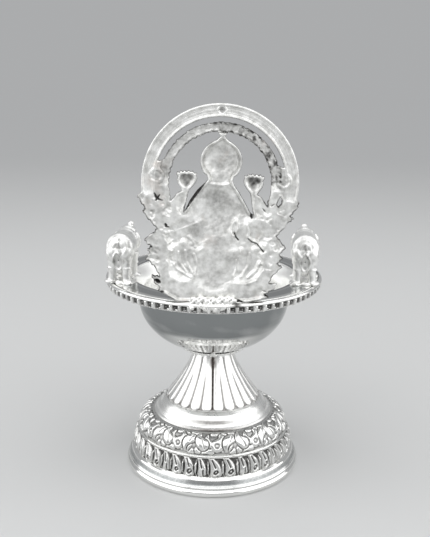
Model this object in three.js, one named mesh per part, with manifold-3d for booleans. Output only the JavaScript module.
import * as THREE from "three";
import { mergeVertices } from "three/addons/utils/BufferGeometryUtils.js";
import Module from "manifold-3d";

// Oil lamp of plated metal with a goddess plaque and two elephants.
// Millimetres, +Z up. The origin is the middle of the foot's underside, the plaque's back faces -Y.

// Driving sizes: heights, stacked from the foot to the rim
const leafSeat = 5.2;
const leafBandHeight = 5.1;
const footFlange = 0.6;
const scrollBandHeight = 4.8;
const shoulderHeight = 4.7;
const fluteHeight = 12.1;
const collarPad = 1.7;
const bowlDepth = 21.8;

// Driving sizes: radii, and the steps between them from the foot's edge inwards
const footRadius = 24.95;
const rollRadius = 1.05;
const rollFlat = 0.45;
const coveDepth = 1.65;
const footStep = 2.35;
const leafTaper = 1.0;
const bandLedge = 1.5;
const scrollWidth = 4.1;
const shoulderLedge = 0.6;
const shoulderWidth = 3.9;
const neckRadius = 5.75;
const collarRadius = 9.7;
const bowlSeatRadius = 4.2;
const openingRadius = 22.8;
const bellyTuck = 1.9;
const bellyHeight = 15.0;
const flangeWidth = 6.1;
const borderWidth = 0.8;
const borderDrop = 2.4;

// Driving sizes: walls, gaps and fasteners
const sheet = 0.9;
const bowlWall = 1.0;
const gap = 0.3;
const studRadius = 1.5;
const studTail = 1.3;
const washerRadius = 3.6;
const washerThickness = 0.7;
const nutAcross = 5.5;
const nutHeight = 2.4;

// Counts, and how deep each pattern is pressed
const plainSides = 44;
const fluteCount = 24;
const fluteDepth = 0.55;
const tongueCount = 48;
const tongueDepth = 0.5;
const collarRibs = 24;
const ribDepth = 0.28;
const nubCount = 76;
const nubDepth = 0.45;

// Plaque: heights are above the rim, widths are from its middle line
const plaqueHeight = 48.2;
const plaqueInset = 0.5;
const plaqueLean = THREE.MathUtils.degToRad(2.6);
const plateThickness = 1.3;
const castWall = 0.9;
const archWidth = 3.15;
const slotWidth = 1.2;
const wreathWidth = 2.25;
const wreathMargin = 0.3;
const channelDepth = 0.5;
const channelEdge = 0.55;
const wreathRise = 0.9;
const reliefOffset = 0.25;

// Elephants: how far their middles stand in from the flange's edge and back from the middle of the rim
const elephantHeight = 14.8;
const elephantInset = 4.5;
const elephantSetback = 7.2;

// Heights of the seats, worked out from the stack
const leafTop = leafSeat + leafBandHeight;
const scrollSeat = leafTop + footFlange;
const stemSeat = scrollSeat + scrollBandHeight;
const fluteStart = stemSeat + shoulderHeight;
const collarSeat = fluteStart + fluteHeight;
const bowlSeat = collarSeat + collarPad;
const rimTop = bowlSeat + bowlDepth;
const bellyCentre = bowlSeat - gap + 0.05 + bellyHeight;

// Radii worked out from the steps
const leafBandFoot = footRadius - footStep;
const leafBandTop = leafBandFoot - leafTaper;
const bandWall = leafBandTop - bandLedge;
const scrollBandTop = leafBandTop - scrollWidth;
const shoulderRadius = scrollBandTop - shoulderLedge;
const fluteFoot = shoulderRadius - shoulderWidth;
const bowlBelly = openingRadius - bellyTuck;
const flangeRadius = openingRadius + flangeWidth;
const studHole = studRadius + gap;
const studLength = collarPad + sheet + washerThickness + nutHeight + studTail;

// Places on the rim, and the plaque's own radii: its outlines are drawn at drawnHeight, then scaled
const plaqueBack = flangeRadius - plaqueInset;
const elephantReach = flangeRadius - elephantInset;
const drawnHeight = 48.2;
const plaqueScale = plaqueHeight / drawnHeight;
const archOuter = 18.8 * plaqueScale;
const archHeight = plaqueHeight - archOuter;
const archInner = archOuter - archWidth;
const wreathOuter = archInner - slotWidth;
const wreathInner = wreathOuter - wreathWidth;

// Materials
function metal(colour, roughness) {
  return new THREE.MeshStandardMaterial({ color: colour, roughness, metalness: 1 });
}
const polished = metal(0xdcdcda, 0.15);
const satin = metal(0xc8c8c3, 0.4);
const oxidised = metal(0xa9a9a4, 0.35);
const solderGrey = metal(0xd4d4d0, 0.3);
const steel = metal(0xb0b2b4, 0.35);

const group = new THREE.Group();

function place(name, geometry, material) {
  const mesh = new THREE.Mesh(geometry, material);
  mesh.name = name;
  group.add(mesh);
  return mesh;
}

// Outline helpers: points run up the outside and down the inside
function arc(centreR, centreZ, radiusR, radiusZ, from, to, steps) {
  const points = [];
  for (let i = 0; i <= steps; i += 1) {
    const a = THREE.MathUtils.degToRad(from + ((to - from) * i) / steps);
    points.push([centreR + radiusR * Math.cos(a), centreZ + radiusZ * Math.sin(a)]);
  }
  return points;
}

function lathe(points, sides = plainSides) {
  const outline = points.map(([r, z]) => new THREE.Vector2(r, z));
  outline.push(outline[0].clone());
  const geometry = new THREE.LatheGeometry(outline, sides);
  geometry.rotateX(Math.PI / 2);
  return geometry;
}

// A closed ring whose radius also changes round the axis: each point is [radius, height, weight]
function wavedRing(points, sides, wave) {
  const positions = [];
  const indices = [];
  const rows = points.length;
  for (let i = 0; i < sides; i += 1) {
    const turn = (2 * Math.PI * i) / sides;
    for (const [r, z, weight] of points) {
      const radius = r + weight * wave(turn, z);
      positions.push(radius * Math.cos(turn), radius * Math.sin(turn), z);
    }
  }
  for (let i = 0; i < sides; i += 1) {
    const next = (i + 1) % sides;
    for (let j = 0; j < rows; j += 1) {
      const up = (j + 1) % rows;
      const a = i * rows + j;
      const b = next * rows + j;
      const c = next * rows + up;
      const d = i * rows + up;
      indices.push(a, b, c, a, c, d);
    }
  }
  const geometry = new THREE.BufferGeometry();
  geometry.setAttribute("position", new THREE.Float32BufferAttribute(positions, 3));
  geometry.setIndex(indices);
  return geometry;
}

// Foot: rolled lip, cove, ledge for the leaf band and a flange above it
function footRing() {
  const rollCentre = footRadius - rollRadius;
  return lathe([
    [rollCentre + rollFlat, 0],
    ...arc(rollCentre, rollRadius, rollRadius, rollRadius, -45, 75, 2),
    [footRadius - rollRadius + 0.4, 0.6 * leafSeat],
    [footRadius - coveDepth, 0.9 * leafSeat],
    [leafBandFoot, leafSeat],
    [bandWall, leafSeat],
    [bandWall, leafTop],
    [leafBandTop, leafTop],
    [leafBandTop, scrollSeat],
    [bandWall - sheet, scrollSeat],
    [bandWall - sheet, leafSeat - sheet],
    [rollCentre - rollRadius + 0.1, 2 * rollRadius + 0.1],
    [rollCentre - rollRadius, rollRadius],
    [rollCentre - rollFlat, 0],
  ]);
}

// Leaf band: a strip whose full face is pressed into hanging tongues
function leafBand() {
  const inside = bandWall + gap;
  const tongue = (turn) => tongueDepth * (Math.abs(Math.sin((tongueCount / 2) * turn)) - 1);
  return wavedRing([
    [leafBandFoot, leafSeat, 0.8],
    [leafBandFoot - 0.4 * leafTaper, leafSeat + 0.6 * leafBandHeight, 1],
    [leafBandTop + 0.1, leafSeat + 0.9 * leafBandHeight, 0.5],
    [leafBandTop - 0.15, leafTop, 0],
    [inside, leafTop, 0],
    [inside, leafSeat, 0],
  ], tongueCount * 2, tongue);
}

// Scroll band: a quarter-round shell that stands on the foot's flange
function scrollBand() {
  const width = leafBandTop - 0.2 - scrollBandTop;
  const outside = arc(scrollBandTop, scrollSeat, width, scrollBandHeight - 0.1, 0, 84, 4);
  const inner = arc(scrollBandTop, scrollSeat, width - sheet, scrollBandHeight - 0.1 - sheet, 84, 0, 2);
  return lathe([
    ...outside,
    [scrollBandTop - 0.3, stemSeat],
    [shoulderRadius - 1.4, stemSeat],
    [shoulderRadius - 1.4, stemSeat - sheet],
    ...inner,
  ]);
}

// Lobes of the cone: twice as many at its foot as at its neck
function lobe(turn, z) {
  const climb = THREE.MathUtils.smoothstep(z, fluteStart + 0.45 * fluteHeight, collarSeat);
  const many = Math.abs(Math.sin((fluteCount / 2) * turn));
  const few = Math.abs(Math.sin((fluteCount / 4) * turn));
  return (1 - climb) * many + climb * few - 0.64;
}

// Radius of the concave cone at a share of its height
function coneRadius(share) {
  return neckRadius + (fluteFoot - neckRadius) * (1 - share) ** 2.1;
}

function flutedStem() {
  const outline = [
    [shoulderRadius, stemSeat, 0],
    [shoulderRadius - 0.5 * shoulderWidth, stemSeat + 0.5 * shoulderHeight, 0],
    [shoulderRadius - 0.9 * shoulderWidth, stemSeat + 0.915 * shoulderHeight, 0],
  ];
  const rises = [0, 0.07, 0.27, 0.57, 1];
  for (const share of rises) {
    const weight = share === 0 ? 0 : fluteDepth * (1 - 0.35 * share);
    outline.push([coneRadius(share), fluteStart + fluteHeight * share, weight]);
  }
  outline.push([studHole, collarSeat, 0]);
  outline.push([studHole, collarSeat - sheet, 0]);
  outline.push([neckRadius - sheet - 0.35, collarSeat - sheet, 0]);
  for (const share of [0.55, 0.15]) {
    outline.push([coneRadius(share) - sheet - 0.35, fluteStart + fluteHeight * share - 0.35, 0]);
  }
  outline.push([shoulderRadius - 0.97 * shoulderWidth, stemSeat + 0.6 * shoulderHeight, 0]);
  outline.push([shoulderRadius - 0.28 * shoulderWidth, stemSeat, 0]);
  return wavedRing(outline, fluteCount * 3, lobe);
}

// Underside of the bowl: a half ellipse, which the collar follows a gap below
function bowlUnderside(radius, drop) {
  const share = Math.min(1, radius / bowlBelly);
  return bellyCentre - bellyHeight * Math.sqrt(1 - share * share) - drop;
}

// Collar: a ribbed calyx with a flat pad for the bowl
function collar() {
  const lip = bowlUnderside(collarRadius, gap);
  const rise = lip - collarSeat;
  const outline = [
    [neckRadius - 0.5, collarSeat, 0],
    [neckRadius + 1.3, collarSeat + 0.4 * rise, 1],
    [collarRadius - 1.1, collarSeat + 0.72 * rise, 1],
    [collarRadius, lip - 0.25, 0.6],
    [collarRadius, lip, 0],
  ];
  const between = (collarRadius + bowlSeatRadius) / 2;
  outline.push([between, bowlUnderside(between, gap), 0]);
  outline.push([bowlSeatRadius + gap, bowlSeat - gap, 0]);
  outline.push([bowlSeatRadius - 0.4, bowlSeat, 0]);
  outline.push([studHole, bowlSeat, 0]);
  outline.push([studHole, collarSeat, 0]);
  const rib = (turn) => ribDepth * (Math.abs(Math.sin((collarRibs / 2) * turn)) - 0.64);
  return wavedRing(outline, collarRibs * 2, rib);
}

// Bowl: elliptical belly that flares to a flat rim
function bowl() {
  const underRim = rimTop - sheet;
  const outer = [[bowlSeatRadius, bowlSeat]];
  for (const share of [0.4, 0.6, 0.77, 0.9]) {
    outer.push([share * bowlBelly, bowlUnderside(share * bowlBelly, 0)]);
  }
  outer.push([bowlBelly, bellyCentre - 0.4]);
  outer.push([bowlBelly + 0.8, bellyCentre + 3.4]);
  outer.push([openingRadius + 0.35, underRim]);
  const inner = [
    [openingRadius, rimTop],
    [openingRadius - 0.7, rimTop - 1.0],
    [bowlBelly - bowlWall + 0.75, bellyCentre + 3.2],
    [bowlBelly - bowlWall, bellyCentre - 0.6],
  ];
  for (const share of [0.84, 0.6, 0.34]) {
    const depth = (bellyHeight - bowlWall) * Math.sqrt(1 - share * share);
    inner.push([share * (bowlBelly - bowlWall), bellyCentre - depth]);
  }
  return lathe([[0, bowlSeat], ...outer, [flangeRadius, underRim], [flangeRadius, rimTop], ...inner,
    [0, bellyCentre - bellyHeight + bowlWall]], plainSides);
}

// Border: a beaded wire round the rim that hooks under the flange
function rimBorder() {
  const inside = flangeRadius + gap;
  const outside = inside + borderWidth;
  const underRim = rimTop - sheet;
  const outline = [
    [inside, rimTop - 0.02, 0],
    [inside, underRim, 0],
    [flangeRadius - 0.7, underRim, 0],
    [outside - 0.75, rimTop - borderDrop, 0.5],
    [outside, rimTop - 0.5 * borderDrop, 1],
  ];
  const nub = (turn) => nubDepth * (Math.abs(Math.cos((nubCount / 2) * turn)) - 1);
  return wavedRing(outline, nubCount * 2, nub);
}

// Solids for joining and cutting
const wasm = await Module();
wasm.setup();

function solid(geometry) {
  const plain = geometry.clone();
  plain.deleteAttribute("normal");
  plain.deleteAttribute("uv");
  const merged = mergeVertices(plain, 1e-4);
  const vertProperties = new Float32Array(merged.attributes.position.array);
  const triVerts = new Uint32Array(merged.index.array);
  return new wasm.Manifold(new wasm.Mesh({ numProp: 3, vertProperties, triVerts }));
}

function geometryOf(manifold) {
  const mesh = manifold.getMesh();
  const geometry = new THREE.BufferGeometry();
  geometry.setAttribute("position", new THREE.BufferAttribute(mesh.vertProperties, 3));
  geometry.setIndex(new THREE.BufferAttribute(mesh.triVerts, 1));
  return geometry;
}

function joined(parts) {
  return parts.reduce((whole, part) => whole.add(part));
}

function ellipsoid([x, y, z], [rx, ry, rz], across = 8, high = 6) {
  const geometry = new THREE.SphereGeometry(1, across, high);
  geometry.rotateX(Math.PI / 2);
  geometry.scale(rx, ry, rz);
  geometry.translate(x, y, z);
  return solid(geometry);
}

// A round bar with round ends between two points
function bar(from, to, radius) {
  const start = new THREE.Vector3(...from);
  const end = new THREE.Vector3(...to);
  const along = end.clone().sub(start);
  const geometry = new THREE.CapsuleGeometry(radius, along.length(), 1, 6, 1);
  const up = new THREE.Vector3(0, 1, 0);
  geometry.applyQuaternion(new THREE.Quaternion().setFromUnitVectors(up, along.normalize()));
  geometry.translate(...start.add(end).multiplyScalar(0.5).toArray());
  return solid(geometry);
}

function box([x0, y0, z0], [x1, y1, z1]) {
  const geometry = new THREE.BoxGeometry(x1 - x0, y1 - y0, z1 - z0);
  geometry.translate((x0 + x1) / 2, (y0 + y1) / 2, (z0 + z1) / 2);
  return solid(geometry);
}

// A flat outline in the plaque's plane, given thickness from one depth to another
function slab(shape, front, back) {
  const geometry = new THREE.ExtrudeGeometry(shape, {
    depth: front - back, bevelEnabled: false, curveSegments: 11,
  });
  geometry.rotateX(Math.PI / 2);
  geometry.translate(0, front, 0);
  return solid(geometry);
}

function ring(outer, inner, from, to) {
  const shape = new THREE.Shape();
  shape.absarc(0, archHeight, outer, from, to, false);
  shape.absarc(0, archHeight, inner, to, from, true);
  shape.closePath();
  return shape;
}

// Plaque outline: petals of the lotus seat and leaf tips up to the arch, right half from the foot up
const petalEdge = [
  [8.8, -2], [8.8, 0.4], [11.3, 0.9], [13.7, 2.3], [14.7, 3.9], [15.4, 6.0], [13.4, 5.7],
  [14.4, 7.6], [17.0, 10.0], [15.0, 11.0], [16.6, 12.3], [15.5, 13.2], [17.2, 14.9],
  [15.6, 16.5], [14.4, 17.6], [15.8, 19.0], [17.1, 20.5], [18.2, 21.9], [17.3, 22.5],
  [18.8, 24.0], [19.5, 25.5],
];

function plaqueOutline() {
  const shape = new THREE.Shape();
  const archStart = THREE.MathUtils.degToRad(-9);
  const edge = petalEdge.map(([x, z]) => [x * plaqueScale, z * plaqueScale]);
  edge.forEach(([x, z], i) => (i === 0 ? shape.moveTo(x, z) : shape.lineTo(x, z)));
  shape.absarc(0, archHeight, archOuter, archStart, Math.PI - archStart, false);
  [...edge].reverse().forEach(([x, z]) => shape.lineTo(-x, z));
  shape.closePath();
  return shape;
}

// Window beside the head, right side: wreath, foliage, raised hand with its lotus, arm, shoulder, head
function windowHole(side) {
  const hole = new THREE.Path();
  const from = THREE.MathUtils.degToRad(-20);
  const to = THREE.MathUtils.degToRad(85);
  const inner = wreathInner;
  const figure = [
    [10.9, 25.0], [10.1, 26.6], [9.2, 27.5], [10.5, 29.7], [10.3, 31.8], [8.0, 32.3], [5.8, 31.8],
    [5.6, 29.9], [7.3, 27.6], [7.8, 24.9], [8.3, 22.2], [6.3, 24.9], [4.7, 27.4], [3.2, 29.4],
    [3.1, 30.7], [4.4, 32.1], [5.1, 34.2], [4.9, 36.4], [3.6, 38.5], [1.1, 40.2],
  ];
  const points = [
    [inner * Math.cos(from), archHeight + inner * Math.sin(from)],
    ...figure.map(([x, z]) => [x * plaqueScale, z * plaqueScale]),
  ];
  const sweep = 8;
  for (let i = 0; i <= sweep; i += 1) {
    const a = to + ((from - to) * i) / sweep;
    points.push([inner * Math.cos(a), archHeight + inner * Math.sin(a)]);
  }
  const last = points.length - 1;
  points.slice(0, last).forEach(([x, z], i) => {
    if (i === 0) hole.moveTo(side * x, z);
    else hole.lineTo(side * x, z);
  });
  hole.closePath();
  return hole;
}

// Crescent slot between the arch and the wreath
function slotHole() {
  const from = THREE.MathUtils.degToRad(17);
  return ring(archInner, wreathOuter, from, Math.PI - from);
}

// Small hole in the foliage on the right
function teardropHole() {
  const points = [[14.5, 26.9], [15.1, 26.0], [14.8, 25.0], [14.1, 24.6], [13.8, 25.4]];
  return new THREE.Path(points.map(([x, z]) => new THREE.Vector2(x * plaqueScale, z * plaqueScale)));
}

// Hollow bodies of the figure and its seat: place across and up, then half widths across, deep and up
const reliefBodies = [
  [0, 34.6, 4.4, 3.9, 5.0],
  [0, 22.4, 6.3, 4.4, 8.0],
  [-6.2, 15.2, 7.0, 5.2, 3.8],
  [6.2, 15.2, 7.0, 5.2, 3.8],
  [-6.2, 7.6, 6.4, 5.4, 5.8],
  [6.2, 7.6, 6.4, 5.4, 5.8],
  [0, 6.0, 6.6, 5.6, 5.6],
].map(([x, z, rx, ry, rz]) => [x * plaqueScale, z * plaqueScale, rx * plaqueScale, ry, rz * plaqueScale]);

// Bodies on the front: face, bust, lotus buds and palms, as place and half widths
const frontBodies = [
  [[0, 1.6, 33.0], [2.5, 3.8, 3.1], 8, 6],
  [[-1.75, 4.0, 24.6], [1.45, 1.4, 1.35], 6, 4],
  [[1.75, 4.0, 24.6], [1.45, 1.4, 1.35], 6, 4],
  [[-8.1, 1.3, 30.0], [1.9, 1.7, 2.0], 6, 4],
  [[8.1, 1.3, 30.0], [1.9, 1.7, 2.0], 6, 4],
  [[-6.5, 5.2, 20.9], [1.2, 0.8, 1.9], 6, 4],
  [[6.6, 5.2, 17.1], [1.2, 0.8, 1.9], 6, 4],
];

// Limbs on both sides: upper arms, forearms, raised arms and folded shins, as ends and a radius
const frontLimbs = [
  [[3.7, 2.4, 27.0], [6.1, 3.2, 23.4], 1.25],
  [[6.1, 3.2, 23.4], [6.5, 4.9, 18.9], 1.0],
  [[5.3, 2.0, 25.3], [7.9, 2.2, 23.3], 1.1],
  [[7.9, 2.2, 23.3], [8.2, 2.0, 27.6], 0.85],
  [[9.8, 3.9, 14.3], [1.7, 4.7, 12.9], 1.25],
];

const across = ([x, y, z], side = 1) => [side * x * plaqueScale, y, z * plaqueScale];

function figureFront() {
  const parts = frontBodies.map(([middle, half, round, high]) =>
    ellipsoid(across(middle), across(half), round, high));
  for (const side of [-1, 1]) {
    for (const [from, to, radius] of frontLimbs) {
      parts.push(bar(across(from, side), across(to, side), radius * plaqueScale));
    }
  }
  const crown = new THREE.CylinderGeometry(0.5 * plaqueScale, 2.4 * plaqueScale, 4.6 * plaqueScale, 8);
  crown.rotateX(Math.PI / 2);
  crown.translate(0, 2.1, 37.7 * plaqueScale);
  parts.push(solid(crown));
  for (const degrees of [-52, 0, 52]) {
    const a = THREE.MathUtils.degToRad(degrees);
    const petal = new THREE.SphereGeometry(1, 6, 4);
    petal.rotateX(Math.PI / 2);
    petal.scale(2.6 * plaqueScale, 1.3, 3.7 * plaqueScale);
    petal.rotateY(a);
    petal.translate(7.0 * plaqueScale * Math.sin(a), 4.6, (2.2 + 4.4 * Math.cos(a)) * plaqueScale);
    parts.push(solid(petal));
  }
  return joined(parts);
}

function plaque() {
  const outline = plaqueOutline();
  outline.holes.push(windowHole(1));
  outline.holes.push(windowHole(-1));
  outline.holes.push(teardropHole());
  outline.holes.push(new THREE.Path(slotHole().getPoints(10)));
  let casting = slab(outline, plateThickness, 0);
  const channel = ring(archOuter - channelEdge, archInner + channelEdge, 0.1, Math.PI - 0.1);
  casting = casting.subtract(slab(channel, channelDepth, -1));
  const wreath = ring(wreathOuter - wreathMargin, wreathInner + wreathMargin, 0.33, Math.PI - 0.33);
  casting = casting.add(slab(wreath, plateThickness + wreathRise, plateThickness / 2));
  for (const [x, z, rx, ry, rz] of reliefBodies) {
    casting = casting.add(ellipsoid([x, reliefOffset, z], [rx, ry, rz]));
  }
  casting = casting.add(figureFront());
  for (const [x, z, rx, ry, rz] of reliefBodies) {
    const inside = [rx - castWall, ry - castWall, rz - castWall];
    casting = casting.subtract(ellipsoid([x, reliefOffset, z], inside));
  }
  const forward = box([-40, 0, -20], [40, 20, 80]);
  casting = casting.intersect(forward);
  const bossAngles = [90, 177, 3];
  for (const degrees of bossAngles) {
    const a = THREE.MathUtils.degToRad(degrees);
    const middle = (archOuter + archInner) / 2;
    const boss = new THREE.CylinderGeometry(1.1, 1.1, channelDepth + 0.3, 10);
    boss.translate(middle * Math.cos(a), (channelDepth + 0.3) / 2, archHeight + middle * Math.sin(a));
    casting = casting.add(solid(boss));
  }
  const leaned = solid(geometryOf(casting).rotateY(plaqueLean).translate(0, -plaqueBack, rimTop));
  return geometryOf(leaned.intersect(box([-40, -40, rimTop], [40, 40, rimTop + 80])));
}

// Solder that runs down behind the plaque's foot onto the border
function plaqueSolder() {
  const behind = plaqueBack + 0.03;
  const lumps = [[-3.9, 1.6, 0.9, 1.2], [-1.4, 1.9, 1.1, 1.7], [1.6, 2.0, 1.0, 1.4], [3.6, 1.5, 0.9, 1.0]];
  const blobs = lumps.map(([x, rx, ry, rz]) => ellipsoid([x, -behind, rimTop + 0.4], [rx, ry, rz]));
  return geometryOf(joined(blobs).intersect(box([-10, -40, rimTop], [10, -behind, rimTop + 5])));
}

// Elephant in its own frame: facing +Y, feet on the floor of that frame
function elephant() {
  const h = elephantHeight;
  const parts = [
    ellipsoid([0, 0, 0.585 * h], [0.245 * h, 0.36 * h, 0.245 * h]),
    ellipsoid([0, -0.2 * h, 0.59 * h], [0.25 * h, 0.17 * h, 0.252 * h]),
    ellipsoid([0, 0.32 * h, 0.72 * h], [0.16 * h, 0.17 * h, 0.18 * h]),
    ellipsoid([0, 0.42 * h, 0.93 * h], [0.065 * h, 0.065 * h, 0.07 * h], 6, 4),
  ];
  for (const side of [-1, 1]) {
    parts.push(ellipsoid([side * 0.205 * h, 0.265 * h, 0.7 * h], [0.085 * h, 0.06 * h, 0.15 * h], 6, 4));
    parts.push(ellipsoid([side * 0.08 * h, 0.34 * h, 0.86 * h], [0.08 * h, 0.09 * h, 0.075 * h], 6, 4));
  }
  const trunkPath = new THREE.CatmullRomCurve3([
    new THREE.Vector3(0, 0.38 * h, 0.62 * h),
    new THREE.Vector3(0, 0.52 * h, 0.62 * h),
    new THREE.Vector3(0, 0.57 * h, 0.74 * h),
    new THREE.Vector3(0, 0.5 * h, 0.86 * h),
    new THREE.Vector3(0, 0.41 * h, 0.88 * h),
  ]);
  const section = new THREE.Shape().absarc(0, 0, 0.055 * h, 0, 2 * Math.PI, false);
  const trunk = new THREE.ExtrudeGeometry(section, { steps: 5, extrudePath: trunkPath, curveSegments: 3 });
  parts.push(solid(trunk));
  for (const side of [-1, 1]) {
    for (const along of [-0.22, 0.2]) {
      const leg = new THREE.CylinderGeometry(0.085 * h, 0.1 * h, 0.42 * h, 6);
      leg.rotateX(Math.PI / 2);
      leg.translate(side * 0.145 * h, along * h, 0.21 * h);
      parts.push(solid(leg));
    }
  }
  return joined(parts);
}

function standingElephant(side, turn) {
  const geometry = geometryOf(elephant());
  geometry.rotateZ(turn);
  geometry.translate(side * elephantReach, -elephantSetback, rimTop);
  return geometry;
}

// Fastening inside the stem
function centreStud() {
  const geometry = new THREE.CylinderGeometry(studRadius, studRadius, studLength, 16);
  geometry.rotateX(Math.PI / 2);
  geometry.translate(0, 0, bowlSeat - studLength / 2);
  return geometry;
}

function clampWasher() {
  const top = collarSeat - sheet;
  return lathe([
    [washerRadius, top - washerThickness],
    [washerRadius, top],
    [studHole, top],
    [studHole, top - washerThickness],
  ], 20);
}

function hexNut() {
  const top = collarSeat - sheet - washerThickness;
  const shape = new THREE.Shape();
  const corner = nutAcross / Math.sqrt(3);
  for (let i = 0; i < 6; i += 1) {
    const a = (Math.PI * i) / 3;
    const point = [corner * Math.cos(a), corner * Math.sin(a)];
    if (i === 0) shape.moveTo(...point);
    else shape.lineTo(...point);
  }
  shape.closePath();
  const hole = new THREE.Path().absarc(0, 0, studHole, 0, 2 * Math.PI, true);
  shape.holes.push(hole);
  const geometry = new THREE.ExtrudeGeometry(shape, { depth: nutHeight, bevelEnabled: false });
  geometry.translate(0, 0, top - nutHeight);
  return geometry;
}

place("foot_ring", footRing(), polished);
place("lower_leaf_band", leafBand(), oxidised);
place("upper_scroll_band", scrollBand(), oxidised);
place("fluted_stem", flutedStem(), polished);
place("collar", collar(), polished);
place("bowl", bowl(), polished);
place("rim_border", rimBorder(), oxidised);
place("plaque", plaque(), satin);
place("plaque_solder", plaqueSolder(), solderGrey);
place("left_elephant", standingElephant(-1, THREE.MathUtils.degToRad(-10)), polished);
place("right_elephant", standingElephant(1, THREE.MathUtils.degToRad(-4)), polished);
place("centre_stud", centreStud(), steel);
place("clamp_washer", clampWasher(), steel);
place("hex_nut", hexNut(), steel);

export default group;
